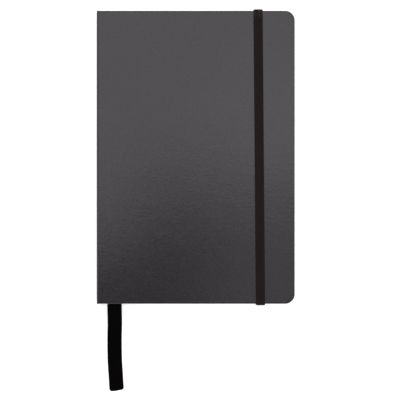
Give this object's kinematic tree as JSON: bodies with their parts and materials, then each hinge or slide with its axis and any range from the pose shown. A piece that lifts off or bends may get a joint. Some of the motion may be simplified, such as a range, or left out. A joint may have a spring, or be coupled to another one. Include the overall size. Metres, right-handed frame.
{
  "type": "sketchbook",
  "caption": "Hardback leatherette sketchbook with sewn pages, an elastic band closure around the fore-edge side and a ribbon marker.",
  "frame": {"origin": "centre of the back cover's outer face, which the closed book rests on", "axes": "+X from the spine to the fore-edge, +Y from the tail to the head, +Z out of the front cover"},
  "size_m": [0.142, 0.2752, 0.0165],
  "materials": {
    "leatherette": "dark grey fine-grained imitation leather, soft sheen",
    "greyboard": "raw grey binder's board",
    "endpaper": "smooth cream endpaper",
    "page_paper": "matt ivory sketching paper",
    "spine_card": "thin manila card",
    "mull": "open starched gauze with dried glue",
    "linen_thread": "waxed linen thread",
    "elastic": "black braided flat elastic",
    "satin_ribbon": "black woven ribbon, faint sheen"
  },
  "bodies": {
    "back_cover": {"back_cover_skin": "leatherette", "back_board": "greyboard", "back_pastedown": "endpaper", "back_flyleaf": "endpaper", "signature_06": "page_paper", "signature_07": "page_paper", "signature_08": "page_paper", "signature_09": "page_paper", "signature_10": "page_paper", "ribbon_marker": "satin_ribbon", "elastic_end_head": "elastic", "elastic_end_tail": "elastic"},
    "spine": {"spine_skin": "leatherette", "spine_card": "spine_card", "spine_lining": "mull", "ribbon_glued_end": "satin_ribbon", "sewing_thread_1": "linen_thread", "sewing_thread_2": "linen_thread", "sewing_thread_3": "linen_thread", "sewing_thread_4": "linen_thread", "sewing_thread_5": "linen_thread"},
    "front_block": {"front_flyleaf": "endpaper", "signature_01": "page_paper", "signature_02": "page_paper", "signature_03": "page_paper", "signature_04": "page_paper", "signature_05": "page_paper"},
    "front_cover": {"front_cover_skin": "leatherette", "front_board": "greyboard", "front_pastedown": "endpaper"},
    "elastic_sides": {"elastic_side_head": "elastic", "elastic_side_tail": "elastic"},
    "elastic_shoulders": {"elastic_shoulder_head": "elastic", "elastic_shoulder_tail": "elastic"},
    "elastic_front": {"elastic_front_run": "elastic"}
  },
  "joints": [
    {"name": "book_open", "type": "hinge", "parent": "back_cover", "child": "spine", "pos_m": [-0.071, 0, 0], "axis": [0, -1, 0], "range_deg": [0, 90]},
    {"name": "front_block_turn", "type": "hinge", "parent": "spine", "child": "front_block", "pos_m": [-0.071, 0, 0.0154], "axis": [0, -1, 0], "range_deg": [0, 90]},
    {"name": "front_cover_open", "type": "hinge", "parent": "front_block", "child": "front_cover", "pos_m": [-0.071, 0, 0.0154], "axis": [0, -1, 0], "range_deg": [0, 178]},
    {"name": "elastic_release", "type": "hinge", "parent": "back_cover", "child": "elastic_sides", "pos_m": [0.0592, 0, -0.0025], "axis": [0, 1, 0], "range_deg": [0, 107], "deforming": ["elastic_side_head", "elastic_side_tail"]},
    {"name": "elastic_shoulder_draw", "type": "slide", "parent": "elastic_sides", "child": "elastic_shoulders", "axis": [0, 0, -1], "range_m": [0, 0.0082], "deforming": ["elastic_shoulder_head", "elastic_shoulder_tail"]},
    {"name": "elastic_front_draw", "type": "slide", "parent": "elastic_shoulders", "child": "elastic_front", "axis": [0, 0, -1], "range_m": [0, 0.0024], "deforming": ["elastic_front_run"]}
  ],
  "couplings": [
    {"joint": "front_block_turn", "follows": "book_open", "ratio": 1},
    {"joint": "elastic_shoulder_draw", "follows": "book_open", "m_per_rad": 0.0051},
    {"joint": "elastic_front_draw", "follows": "front_cover_open", "m_per_rad": 0.0007}
  ]
}
